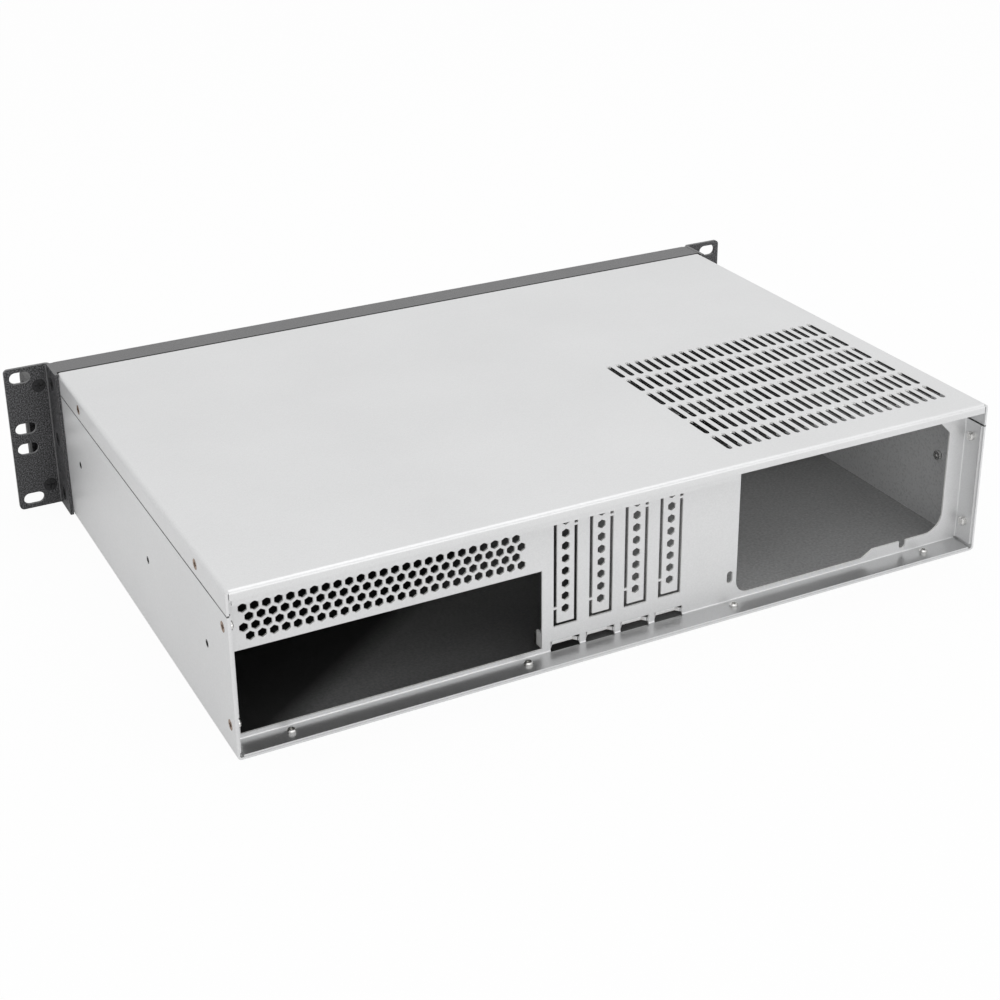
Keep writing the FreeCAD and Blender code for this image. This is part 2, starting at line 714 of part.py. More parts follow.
def rear_blank():
    """The rear panel before it is pierced: flanges on the floor and walls, and a turned-down top flange."""
    floor = TRAY_SHEET
    top = BODY_HEIGHT - TRAY_SHEET - LIP_STANDOFF
    bend = BEND_RADIUS + REAR_SHEET
    rear_edge = BODY_DEPTH - LIP_STANDOFF
    lip_y = BODY_DEPTH - TRAY_SHEET - LIP_STANDOFF
    plate_x = inner_x - bend
    flange_x = inner_x - REAR_SHEET - FLANGE_END_GAP
    plate = box(-plate_x, plate_x, panel_front, panel_y, floor + bend, top - bend)
    floor_path = [(panel_front, floor + bend), (panel_front, floor), (rear_edge, floor)]
    floor_flange = folded(floor_path, REAR_SHEET, along_depth(-flange_x), SIDEWAYS * 2 * flange_x)
    side_path = [(plate_x, panel_front), (inner_x, panel_front), (inner_x, rear_edge - REAR_SHEET)]
    side_height = seam_z - SEAM - floor - bend
    side_flange = folded(side_path, REAR_SHEET, in_plan(floor + bend), UPWARD * side_height)
    top_path = [(lip_y, top - TOP_FLANGE_DROP), (lip_y, top), (panel_front, top), (panel_front, top - bend)]
    end_x = psu_left_x + TOP_FLANGE_PAST_SUPPLY
    top_flange = folded(top_path, REAR_SHEET, along_depth(end_x), SIDEWAYS * (flange_x - end_x))
    edge = box(-plate_x, end_x, panel_front, panel_y, top - bend, top)
    return plate.fuse([floor_flange, top_flange, edge] + both_sides([side_flange]))


def rear_panel():
    """The recessed rear panel with its vent, openings, card slot blanks and power supply opening."""
    front = panel_front - REAR_SHEET
    back = panel_y + REAR_SHEET
    cuts = psu_opening()
    cuts.append(box(io_right_x, io_right_x + IO_WIDTH, front, back, IO_BOTTOM_Z, io_top_z))
    for row in range(HEX_ROWS):
        first_x = half_width - HEX_SIDE_INSET - (row % 2) * HEX_PITCH / 2
        z = io_top_z + HEX_OVER_OPENING + (HEX_ROWS - 1 - row) * HEX_PITCH * math.sqrt(3) / 2
        cuts += [rear_hexagon(first_x - column * HEX_PITCH, z) for column in range(HEX_COLUMNS)]
    additions = []
    reach = TAIL_WIDTH / 2
    hex_pitch = (slot_top_z - SLOT_HEX_TOP_DROP - SLOT_HEX_LOW_Z) / (SLOT_HEX_COUNT - 1)
    for x in slot_xs:
        cuts += slot_outline(x)
        cuts += [rear_hexagon(x, SLOT_HEX_LOW_Z + step * hex_pitch) for step in range(SLOT_HEX_COUNT)]
        cuts.append(box(x - reach, x + reach, front, panel_y + TAIL_RUN_OUT, 0, TAIL_TOP_Z))
        additions.append(tail_guide(x))
    hole = Vector(psu_left_x + PSU_HOLE_FROM_LEFT, front, PSU_HOLE_Z)
    cuts.append(obround(PSU_HOLE_WIDTH, PSU_HOLE_LENGTH, hole, UPWARD, BACKWARD, 3 * REAR_SHEET))
    cuts += both_sides([rod(screw_hole, M3_MIDDLE, p, LEFTWARD) for p in rear_screw_places()])
    cuts += [rod(screw_hole, 3 * REAR_SHEET, p, UPWARD) for p in floor_screw_places()]
    # A small ear turned inwards at the edge of the input-output opening
    tab_x = io_right_x - REAR_SHEET
    tab_top = IO_BOTTOM_Z + IO_TAB_HEIGHT
    additions.append(box(tab_x, io_right_x, panel_y - IO_TAB_DEPTH, panel_y, IO_BOTTOM_Z, tab_top))
    return rear_blank().cut(cuts).fuse(additions).removeSplitter()


def front_panel():
    """The black front: a face with returns on four sides, the intake slots and the control openings."""
    bend = BEND_RADIUS + FRONT_SHEET
    face_x = half_width - bend
    path = [(RETURN_DEPTH, BODY_HEIGHT), (front_y, BODY_HEIGHT), (front_y, 0), (RETURN_DEPTH, 0)]
    face = folded(path, FRONT_SHEET, along_depth(-face_x), SIDEWAYS * 2 * face_x)
    side_path = [(face_x, front_y), (half_width, front_y), (half_width, RETURN_DEPTH)]
    side = folded(side_path, FRONT_SHEET, in_plan(bend), UPWARD * (BODY_HEIGHT - 2 * bend))
    # Behind the bends, the top and bottom returns run over the ends of the side returns
    behind = front_y + bend
    under = FRONT_SHEET + TOUCH
    upper = box(face_x, half_width, behind, RETURN_DEPTH, BODY_HEIGHT - FRONT_SHEET, BODY_HEIGHT)
    lower = box(face_x, half_width, behind, RETURN_DEPTH, 0, FRONT_SHEET)
    side_ends = box(tongue_x, half_width, behind, RETURN_DEPTH, under, BODY_HEIGHT - under)
    panel = face.fuse(both_sides([side, upper, lower, side_ends]))
    y = front_y - FRONT_SHEET
    through = 3 * FRONT_SHEET
    cuts = both_sides([rod(ear_hole, M4_LENGTH, p, LEFTWARD) for p in ear_screw_places()])
    middle = (INTAKE_SLOTS - 1) / 2
    for fan_x in fan_xs:
        for k in range(INTAKE_SLOTS):
            length = BODY_HEIGHT - 2 * INTAKE_MARGIN - INTAKE_SHORTER * abs(k - middle)
            centre = Vector(fan_x + (k - middle) * INTAKE_PITCH, y, BODY_HEIGHT / 2)
            cuts.append(vent_slot(INTAKE_WIDTH, length, centre, UPWARD, BACKWARD, through))
    for place, width in button_places():
        cuts.append(rod(width + 2 * BUTTON_CLEARANCE, through, place + FORWARD, BACKWARD))
    for side in (-1, 1):
        cuts.append(rod(LAMP_DIAMETER + 2 * TOUCH, through, lamp_place(side) + FORWARD, BACKWARD))
    w = PORT_WIDTH / 2 + BUTTON_CLEARANCE
    h = PORT_HEIGHT / 2 + BUTTON_CLEARANCE
    for p in port_places():
        cuts.append(box(p.x - w, p.x + w, y, y + through, p.z - h, p.z + h))
    return panel.cut(cuts).removeSplitter()


def ear():
    """The +X rack ear: a plate with four rack slots, and a flange screwed to the side of the case."""
    path = [(half_width, EAR_FLANGE_DEPTH), (half_width, front_y), (half_panel, front_y)]
    blank = folded(path, EAR_SHEET, in_plan(0), UPWARD * ear_height)
    outer = [e for e in blank.Edges if e.BoundBox.XMin > half_panel - TOUCH]
    corners = [e for e in outer if e.BoundBox.YLength > TOUCH]
    x = half_panel - RACK_SLOT_SIDE_INSET
    y = front_y - EAR_SHEET / 2
    cuts = []
    for rise in (middle_z - RACK_SLOT_END_INSET, RACK_INNER_PITCH / 2):
        for side in (-1, 1):
            centre = Vector(x, y, middle_z + side * rise)
            cuts.append(obround(RACK_SLOT_WIDTH, RACK_SLOT_LENGTH, centre, SIDEWAYS, BACKWARD, 2 * EAR_SHEET))
    cuts += [countersunk_hole(M4_HEAD, M4, M4_LENGTH, p, FORWARD) for p in handle_screw_places()]
    cuts += [countersunk_hole(M4_HEAD, M4, M4_SHORT, p, LEFTWARD) for p in ear_screw_places()]
    return blank.makeFillet(EAR_CORNER, corners).cut(cuts)


def handle():
    """The +X handle: a squared bar bent into a U, its ends standing on the front of the ear."""
    low = middle_z - handle_screw_rise - HANDLE_BAR / 2
    high = middle_z + handle_screw_rise + HANDLE_BAR / 2
    tip = -HANDLE_REACH
    grip = tip + HANDLE_BAR
    inner_low = low + HANDLE_BAR
    inner_high = high - HANDLE_BAR
    place = along_depth(handle_x - HANDLE_WIDTH / 2)
    outer = [place(front_y, low), place(tip, low), place(tip, high), place(front_y, high)]
    inner = [place(y, inner_low) for y in (front_y, grip)] + [place(y, inner_high) for y in (grip, front_y)]
    edges = rounded_side(outer, [HANDLE_OUTER_RADIUS] * 2) + rounded_side(inner, [HANDLE_INNER_RADIUS] * 2)
    edges += [Part.makeLine(outer[0], inner[0]), Part.makeLine(outer[-1], inner[-1])]
    bar = Part.Face(Part.Wire(Part.__sortEdges__(edges))).extrude(SIDEWAYS * HANDLE_WIDTH)
    along = [e for e in bar.Edges if e.BoundBox.XLength < TOUCH and e.BoundBox.YMin < front_y - TOUCH]
    bar = bar.makeChamfer(HANDLE_EDGE, along)
    return bar.cut([rod(ear_hole, M4_LENGTH + EAR_SHEET, p, FORWARD) for p in handle_screw_places()])


def rail_nut(place):
    """A round press-in nut for the rail screws, its spigot flush with the outside of the wall."""
    nut = rod(RAIL_SPIGOT_WIDTH, TRAY_SHEET + RAIL_NUT_HEIGHT, place, LEFTWARD)
    nut = nut.fuse(rod(RAIL_NUT_WIDTH, RAIL_NUT_HEIGHT, place + LEFTWARD * TRAY_SHEET, LEFTWARD))
    return nut.removeSplitter().cut(rod(TAPPED_M3, 2 * RAIL_NUT_HEIGHT, place, LEFTWARD))


def rear_side_nut(place):
    """A closed nut on the inner face of the rear panel's side flange."""
    barrel = Part.makeCylinder(REAR_NUT_WIDTH / 2, REAR_NUT_HEIGHT)
    crown = UPWARD * REAR_NUT_HEIGHT
    rim = [e for e in barrel.Edges if e.CenterOfMass.distanceToPoint(crown) < TOUCH]
    nut = barrel.makeChamfer(REAR_NUT_BEVEL, rim).cut(Part.makeCylinder(screw_hole / 2, REAR_NUT_BORE))
    return placed(nut, place + LEFTWARD * (TRAY_SHEET + REAR_SHEET), LEFTWARD)


def drive_bracket():
    """A bridge over the floor with two feet, and the hole pattern of a small drive in its top."""
    reach = BRACKET_WIDTH / 2
    outer = reach + REAR_SHEET + BRACKET_FOOT
    low = TRAY_SHEET
    high = TRAY_SHEET + BRACKET_HEIGHT
    path = [(-outer, low), (-reach, low), (-reach, high), (reach, high), (reach, low), (outer, low)]
    path = [(bracket_x + u, v) for u, v in path]
    bracket = folded(path, REAR_SHEET, across(BRACKET_Y - BRACKET_DEPTH / 2), BACKWARD * BRACKET_DEPTH)
    cuts = [rod(screw_hole, 3 * REAR_SHEET, p, UPWARD) for p in bracket_foot_places()]
    for dx in (-DRIVE_HOLE_X / 2, DRIVE_HOLE_X / 2):
        for dy in (-DRIVE_HOLE_Y / 2, DRIVE_HOLE_Y / 2):
            start = Vector(bracket_x + dx, BRACKET_Y + dy, high - REAR_SHEET)
            cuts.append(rod(screw_hole, 3 * REAR_SHEET, start, UPWARD))
    return bracket.cut(cuts)


def control_board():
    """The small circuit board behind the front panel."""
    x = control_x - CONTROL_WIDTH / 2
    z = control_z - CONTROL_HEIGHT / 2
    back = CONTROL_BOARD_Y + CONTROL_BOARD
    board = box(x, x + CONTROL_WIDTH, CONTROL_BOARD_Y, back, z, z + CONTROL_HEIGHT)
    corners = control_corner_places(CONTROL_BOARD_Y)
    return board.cut([rod(screw_hole, CONTROL_BOARD, p, BACKWARD) for p in corners])


def button(place, width):
    """A push button with a rim behind the panel and a stem that enters its switch."""
    inside = front_y + FRONT_SHEET + TOUCH
    cap = rod(width, inside - front_y + BUTTON_PROUD, place + FORWARD * BUTTON_PROUD, BACKWARD)
    edge = [e for e in cap.Edges if e.BoundBox.YMax < front_y - BUTTON_PROUD + TOUCH]
    cap = cap.makeChamfer(BUTTON_EDGE, edge)
    middle = Vector(place.x, inside, place.z)
    rim = rod(width + 2 * BUTTON_RIM, BUTTON_RIM, middle, BACKWARD)
    stem = rod(BUTTON_STEM, switch_front + STEM_OVERLAP - inside, middle, BACKWARD)
    return cap.fuse([rim, stem]).removeSplitter()


def switch(place):
    """The body of a push switch on the control board, with the bore that its button's stem slides in."""
    half = SWITCH_WIDTH / 2
    body = box(place.x - half, place.x + half, switch_front, CONTROL_BOARD_Y, place.z - half, place.z + half)
    start = Vector(place.x, switch_front, place.z)
    return body.cut(rod(BUTTON_STEM + 2 * BUTTON_CLEARANCE, SWITCH_DEPTH - SWITCH_BACK, start, BACKWARD))


def lamp(place):
    """An indicator lamp with a bevelled tip in the panel and a collar on the board."""
    lens = rod(LAMP_DIAMETER, CONTROL_BOARD_Y - front_y + LAMP_PROUD, place + FORWARD * LAMP_PROUD, BACKWARD)
    tip = [e for e in lens.Edges if e.BoundBox.YMax < front_y - LAMP_PROUD + TOUCH]
    lens = lens.makeChamfer(LAMP_DIAMETER / 4, tip)
    collar = rod(LAMP_COLLAR, LAMP_COLLAR / 4, Vector(place.x, CONTROL_BOARD_Y, place.z), FORWARD)
    return lens.fuse(collar).removeSplitter()


def port_shell(place):
    """The metal shell of a socket, closed at the back, its mouth flush with the panel."""
    w = PORT_WIDTH / 2
    h = PORT_HEIGHT / 2
    shell = box(place.x - w, place.x + w, front_y, CONTROL_BOARD_Y, place.z - h, place.z + h)
    w -= PORT_WALL
    h -= PORT_WALL
    back = CONTROL_BOARD_Y - PORT_WALL
    return shell.cut(box(place.x - w, place.x + w, front_y, back, place.z - h, place.z + h))


def port_tongue(place):
    """The contact tongue inside a socket."""
    w = PORT_TONGUE_WIDTH / 2
    back = CONTROL_BOARD_Y - PORT_WALL
    low = place.z + TOUCH
    return box(place.x - w, place.x + w, front_y + PORT_TONGUE_INSET, back, low, low + PORT_TONGUE)


os.makedirs("parts", exist_ok=True)

export("base_tray", [base_tray()])
export("rear_panel", [rear_panel()])
export("top_cover", [top_cover()])
export("front_panel", [front_panel()])

right_ear = ear()
right_handle = handle()
export("right_ear", [right_ear])
export("left_ear", [mirrored(right_ear)])
export("right_handle", [right_handle])
export("left_handle", [mirrored(right_handle)])

handle_screws = [countersunk_screw(M4_HEAD, M4, M4_LENGTH, p, FORWARD) for p in handle_screw_places()]
ear_screws = [countersunk_screw(M4_HEAD, M4, M4_SHORT, p, LEFTWARD) for p in ear_screw_places()]
cover_screws = [countersunk_screw(M3_HEAD, M3, M3_LENGTH, p, LEFTWARD) for p in cover_screw_places()]
rear_side_screws = [countersunk_screw(M3_HEAD, M3, M3_MIDDLE, p, LEFTWARD) for p in rear_screw_places()]
export("handle_screws", both_sides(handle_screws))
export("ear_screws", both_sides(ear_screws))
export("cover_screws", both_sides(cover_screws))
export("rear_side_screws", both_sides(rear_side_screws))
export("rear_side_nuts", both_sides([rear_side_nut(p) for p in rear_screw_places()]))
export("rail_nuts", both_sides([rail_nut(p) for p in rail_hole_places()]))

seat = UPWARD * REAR_SHEET
standoffs = [threaded_post(STANDOFF_HEIGHT, TAPPED_M3, STANDOFF_BORE, p, UPWARD) for p in board_hole_places()]
export("rear_floor_screws", [pan_screw(M3_SHORT, p + seat, DOWNWARD) for p in floor_screw_places()])
export("board_standoffs", standoffs)
export("drive_bracket", [drive_bracket()])
export("bracket_screws", [pan_screw(M3_SHORT, p + seat, DOWNWARD) for p in bracket_foot_places()])

corners = control_corner_places(tray_front)
spacer_height = tray_front - CONTROL_BOARD_Y - CONTROL_BOARD
spacers = [threaded_post(spacer_height, screw_hole, SPACER_BORE, p, FORWARD) for p in corners]
export("board_spacers", spacers)
export("control_board", [control_board()])
export("board_screws", [pan_screw(M3_LENGTH, p, BACKWARD) for p in control_corner_places(CONTROL_BOARD_Y)])

for name, (place, width) in zip(("power", "reset"), button_places()):
    export(name + "_switch", [switch(place)])
    export(name + "_button", [button(place, width)])
export("power_light", [lamp(lamp_place(1))])
export("drive_light", [lamp(lamp_place(-1))])
export("usb_ports", [port_shell(p) for p in port_places()])
export("usb_tongues", [port_tongue(p) for p in port_places()])
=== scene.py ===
import math

import bpy
import numpy as np
from mathutils import Matrix, Vector

# The empty case as it leaves the assembly bench: zinc-plated tray, rear panel and cover, black front and
# ears, and the fasteners that hold them. The frame brings every piece in its place. Places are in metres:
# x runs across the case from its middle, y backwards and z up from its underside.
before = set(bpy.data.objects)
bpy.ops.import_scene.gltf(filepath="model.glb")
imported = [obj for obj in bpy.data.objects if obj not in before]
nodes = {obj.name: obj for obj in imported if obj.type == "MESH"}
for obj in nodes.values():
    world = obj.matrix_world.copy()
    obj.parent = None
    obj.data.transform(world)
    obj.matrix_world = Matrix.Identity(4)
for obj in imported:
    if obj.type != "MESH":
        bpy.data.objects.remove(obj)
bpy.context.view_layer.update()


# Base tray, rear panel, cover and drive bracket
# Electro-galvanised steel sheet, punched and folded. The zinc is pale and satin, with a very fine even grain,
# faint cloudiness from the bath and a slight drift in gloss along the rolling direction.
ZINC_TINT = (0.70, 0.703, 0.706)
ZINC_DARKEST = 0.84
ZINC_LIGHTEST = 1.15
ZINC_ROUGHNESS = 0.38
ZINC_METAL = 0.5
INNER_METAL = 0.3
# Bare steel on punched edges and guides, painted near-white as a highlight
BARE_STEEL_GLINT = (0.97, 0.97, 0.96)
BARE_METAL = 0.34
FLANGE_ROUGHNESS = 0.30
FLANGE_METAL = 0.84
UNLIT = (0.0, 0.0, 0.0)

# How much of a face's normal points up or back where the face counts as level or upright, and as a rear one
STEEP = 0.5
REARWARD = 0.4

# The field that the recessed rear panel fills within the skin, and the edges of what is punched through it
PANEL_HALF_WIDTH = 0.2125
PANEL_HEIGHT = (0.0025, 0.0865)
PANEL_DEPTH = (0.15004, 0.15096)

# The guides for the tails of the cards, at the panel's foot
GUIDE_HALF_WIDTH = 0.08
GUIDE_DEPTH = (0.142, 0.15)
GUIDE_HEIGHT = (0.0015, 0.0135)

# The walls of the vent's slots, through the cover's sheet
VENT_HALF_WIDTH = 0.205
VENT_REAR = 0.14
VENT_HEIGHT = (0.0869, 0.0879)

# The room inside the sheets, where level faces below this height are the tray's floor
ROOM_HALF_WIDTH = 0.2141
ROOM_REAR = 0.1502
ROOM_HEIGHT = (0.001, 0.0868)
FLOOR_BELOW = 0.01

# Painted light and shadow inside slant across the floor by this much for each metre of depth. Between these
# places the painted light of the supply bay starts, its floor darkens sideways and all the painted light
# fades to the front, and the card covers cast painted shade on what is close behind them.
SLANT = 0.567
SUPPLY_EDGE = (-0.055, -0.063)
SUPPLY_FLOOR = (-0.07, -0.11)
FRONT_FADE = (-0.05, 0.03)
CARD_SHADE = (-0.135, -0.038)
CARD_FADE = (0.12, 0.135)

# The painted pool of light on the board bay's floor starts at a slanting edge through this point, with this
# way across and back, and fades behind it
POOL_ACROSS = 0.0853
POOL_DEPTH = 0.0735
POOL_WAY = (-0.589, 0.808)
POOL_START = (-0.008, 0.008)
POOL_END = (0.02, 0.07)

# The groove under the cover's side flanges, and the floor's flange behind the rear panel
SIDE_WALL = 0.213
GROOVE_HEIGHT = (0.0749, 0.0758)
FLANGE_FRONT = 0.1512
FLANGE_BELOW = 0.02

# How much painted light the plating gets in the bays, and what the painted shadows take from it, as shares of
# its tint
BOARD_BAY_LIGHT = 0.02
BOARD_FLOOR_LIGHT = 0.04
POOL_LIGHT = 0.22
POOL_LOSS = 0.6
SUPPLY_FLOOR_LIGHT = 0.60
SUPPLY_SIDE_LOSS = 0.11
SPECK_CONTRAST = 0.8
CARD_LOSS = 0.75
GROOVE_LOSS = 0.85
SLOT_WALL_LOSS = 0.92
FLANGE_LOSS = 0.2


class Level:
    """A number that varies over a surface, held as a node socket: shader maths reads as plain sums."""

    def __init__(self, socket):
        self.socket = socket

    def worked(self, operation, first, second=0.0):
        tree = self.socket.id_data
        node = tree.nodes.new("ShaderNodeMath")
        node.operation = operation
        for place, value in zip(node.inputs, (first, second)):
            if isinstance(value, Level):
                tree.links.new(value.socket, place)
            else:
                place.default_value = value
        return Level(node.outputs[0])

    def __add__(self, other):
        return self.worked("ADD", self, other)

    def __sub__(self, other):
        return self.worked("SUBTRACT", self, other)

    def __rsub__(self, other):
        return self.worked("SUBTRACT", other, self)

    def __mul__(self, other):
        return self.worked("MULTIPLY", self, other)

    def __abs__(self):
        return self.worked("ABSOLUTE", self)

    def __gt__(self, other):
        return self.worked("GREATER_THAN", self, other)

    def __lt__(self, other):
        return self.worked("LESS_THAN", self, other)

    def between(self, low, high):
        """One where the number lies between two others, and nothing elsewhere."""
        return (self > low) * (self < high)

    def around(self, middle, width):
        """Clouds with a mean of a half, laid around a middle value with this width."""
        return self * width + (middle - width / 2)

    __radd__ = __add__
    __rmul__ = __mul__


class Finish:
    """A surface finish: one material with its shader, to which nodes are added one by one."""

    def __init__(self, name, **values):
        self.material = bpy.data.materials.new(name)
        self.material.use_nodes = True
        self.tree = self.material.node_tree
        self.shader = self.tree.nodes["Principled BSDF"]
        for socket, value in values.items():
            self.shader.inputs[socket.replace("_", " ")].default_value = value

    def link(self, value, place):
        """Sets a socket to a value, a level or another node's output."""
        if isinstance(value, Level):
            value = value.socket
        if isinstance(value, bpy.types.NodeSocket):
            self.tree.links.new(value, place)
        else:
            place.default_value = value

    def node(self, kind, settings=None, **sockets):
        """A node of this kind, with its settings first and then the values or links of its sockets."""
        node = self.tree.nodes.new("ShaderNode" + kind)
        for name, value in (settings or {}).items():
            setattr(node, name, value)
        for name, value in sockets.items():
            self.link(value, node.inputs[name.replace("_", " ")])
        return node

    def place(self, stretch=(1, 1, 1)):
        """Coordinates on the piece itself, in metres, stretched along the axes."""
        point = self.node("TexCoord").outputs["Object"]
        return self.node("Mapping", Vector=point, Scale=stretch).outputs[0]

    def split(self, output):
        """The three parts of the piece's own coordinates or of its surface normal."""
        parts = self.node("SeparateXYZ", Vector=self.node("TexCoord").outputs[output])
        return [Level(socket) for socket in parts.outputs]

    def noise(self, scale, detail=2.0, roughness=0.5, stretch=(1, 1, 1)):
        """Cloudy variation with a mean of about a half and about this many clouds in a metre."""
        point = self.place(stretch)
        node = self.node("TexNoise", Vector=point, Scale=scale, Detail=detail, Roughness=roughness)
        return Level(node.outputs["Fac"])

    def ramp(self, value, start, end):
        """Rises evenly from nothing at the start to one at the end."""
        node = self.node("MapRange", Value=value, From_Min=start, From_Max=end)
        return Level(node.outputs[0])

    def blend(self, factor, dark, light):
        """A colour between two colours."""
        node = self.node("Mix", {"data_type": "RGBA"})
        self.link(factor, node.inputs[0])
        for place, colour in ((node.inputs[6], dark), (node.inputs[7], light)):
            self.link(colour if isinstance(colour, bpy.types.NodeSocket) else (*colour, 1.0), place)
        return node.outputs[2]

    def shades(self, factor, tint, darkest, lightest):
        """A tint that varies from one share of itself to another, each part at most one."""
        return self.blend(factor, [c * darkest for c in tint], [min(1.0, c * lightest) for c in tint])

    def relief(self, height, distance, strength):
        """Feeds a height over the surface to the normal."""
        bump = self.node("Bump", Strength=strength, Distance=distance, Height=height)
        self.set(Normal=bump.outputs[0])

    def set(self, **values):
        for name, value in values.items():
            self.link(value, self.shader.inputs[name.replace("_", " ")])


def dress(finish, *names):
    """Gives a finish to the frame's own pieces."""
    for name in names:
        mesh = nodes[name].data
        if not mesh.materials:
            mesh.materials.append(None)
        for k in range(len(mesh.materials)):
            mesh.materials[k] = finish.material


def inner_shade(zinc, x, y, floor, speck):
    """How much painted light and shade the plating gets inside, as a share of its tint.

    The supply bay's walls are painted light and its floor duller. The board bay is painted dark, with a
    painted pool of faint light on its floor. Specks break up the painted shade.
    """
    slant = x - y * SLANT
    pool_across, pool_back = POOL_WAY
    reach = (y - POOL_DEPTH) * pool_back + (x - POOL_ACROSS) * pool_across
    pool = zinc.ramp(reach, *POOL_START) * (1.0 - zinc.ramp(reach, *POOL_END) * POOL_LOSS)
    board_bay = BOARD_BAY_LIGHT + floor * (pool * POOL_LIGHT + (BOARD_FLOOR_LIGHT - BOARD_BAY_LIGHT))
    supply_loss = zinc.ramp(x, *SUPPLY_FLOOR) * SUPPLY_SIDE_LOSS + (1.0 - SUPPLY_FLOOR_LIGHT)
    supply_bay = 1.0 - floor * supply_loss
    shade = board_bay + zinc.ramp(slant, *SUPPLY_EDGE) * (supply_bay - board_bay)
    behind_cards = zinc.ramp(y, *CARD_FADE) * slant.between(*CARD_SHADE)
    shade = shade * zinc.ramp(y, *FRONT_FADE) * (1.0 - behind_cards * CARD_LOSS)
    return shade * speck.around(1.0, width=SPECK_CONTRAST)


def zinc_sheet(name):
    """Pale satin zinc: clouds 7 cm wide, a grain of 0.7 mm, specks of 1.4 mm, and a slow drift in gloss."""
    zinc = Finish(name, IOR=1.6)
    clouds = zinc.noise(scale=14.0, detail=3.0)
    grain = zinc.noise(scale=1500.0, stretch=(1.0, 0.7, 1.0))
    speck = zinc.noise(scale=700.0)
    drift = zinc.noise(scale=9.0, stretch=(0.3, 1.0, 1.0))
    x, y, z = zinc.split("Object")
    facing_back, facing_up = zinc.split("Normal")[1:]
    upright = abs(facing_up) < STEEP
    sideways = abs(facing_back) < STEEP
    level = facing_up > STEEP
    # Painted highlights: the punched edges of the rear panel, its card guides and the vent's rear walls are
    # bare steel painted near-white as glints
    panel = (abs(x) < PANEL_HALF_WIDTH) * z.between(*PANEL_HEIGHT) * y.between(*PANEL_DEPTH)
    guides = (abs(x) < GUIDE_HALF_WIDTH) * z.between(*GUIDE_HEIGHT) * y.between(*GUIDE_DEPTH)
    vent = upright * z.between(*VENT_HEIGHT) * (abs(x) < VENT_HALF_WIDTH) * (y < VENT_REAR)
    bright = sideways * panel + guides + vent * (facing_back > REARWARD)
    room = (abs(x) < ROOM_HALF_WIDTH) * z.between(*ROOM_HEIGHT) * (y < ROOM_REAR)
    inside = room * (1.0 - bright)
    floor = level * (z < FLOOR_BELOW)
    # Painted shade: the vent's other walls and the groove are darkened as shadow, and the flange is painted a
    # little darker as a painted reflection of the dark inside, and is glossier
    groove = (abs(x) > SIDE_WALL) * z.between(*GROOVE_HEIGHT)
    flange = level * (y > FLANGE_FRONT) * (z < FLANGE_BELOW)
    slot_walls = vent * (facing_back < REARWARD)
    shadow = (1.0 - groove * GROOVE_LOSS) * (1.0 - slot_walls * SLOT_WALL_LOSS) * (1.0 - flange * FLANGE_LOSS)
    # Painted light and shade: inside the case the plating's colour is scaled by the painted light of the
    # bays, and the groove, the vent's side walls and the flange are painted darker
    light = (1.0 - inside + inside * inner_shade(zinc, x, y, floor, speck)) * shadow
    plating = zinc.shades(clouds * 0.3 + grain * 0.5 + speck * 0.2, ZINC_TINT, ZINC_DARKEST, ZINC_LIGHTEST)
    zinc.set(Base_Color=zinc.blend(light, UNLIT, zinc.blend(bright, plating, BARE_STEEL_GLINT)))
    metal = bright * (BARE_METAL - ZINC_METAL) + inside * (INNER_METAL - ZINC_METAL)
    zinc.set(Metallic=ZINC_METAL + metal + flange * (FLANGE_METAL - ZINC_METAL))
    roughness = drift.around(ZINC_ROUGHNESS, width=0.1) + grain.around(0.0, width=0.06)
    zinc.set(Roughness=roughness + flange * (FLANGE_ROUGHNESS - ZINC_ROUGHNESS))
    zinc.relief(grain * 0.7 + speck * 0.3, distance=0.00003, strength=0.6)
    return zinc


dress(zinc_sheet("zinc_steel"), "base_tray", "rear_panel", "top_cover", "drive_bracket")


# Front panel, rack ears and handles
# Folded steel with a fine-textured black powder coat, baked on, with a painted sheen on its tops and a
# painted highlight along the folds. The handles are solid bar with the same kind of coat, painted darker as
# shade, and duller.
CASE_BLACK = (0.021, 0.021, 0.022)
CASE_TOP_SHEEN = (0.13, 0.13, 0.132)
HANDLE_SHADED_BLACK = (0.006, 0.006, 0.0065)
HANDLE_TOP_SHEEN = (0.10, 0.10, 0.10)
SEAM_SHADOW = (0.002, 0.002, 0.002)
COAT_ROUGHNESS = 0.43
SEAM_DULLER = 0.4

# A face gets the painted sheen of a top, or the painted highlight of a round fold between the front and a
# side, by its normal
TOP_FACING = 0.7
FOLD_FACING = (0.25, 0.95)
FOLD_HIGHLIGHT = 0.8

# The rear edge of the front's upper return, painted near-black as the shadow of the cover's edge
SEAM_DEPTH = (-0.1203, -0.1188)
SEAM_HALF_WIDTH = 0.2149
SEAM_ABOVE = 0.08


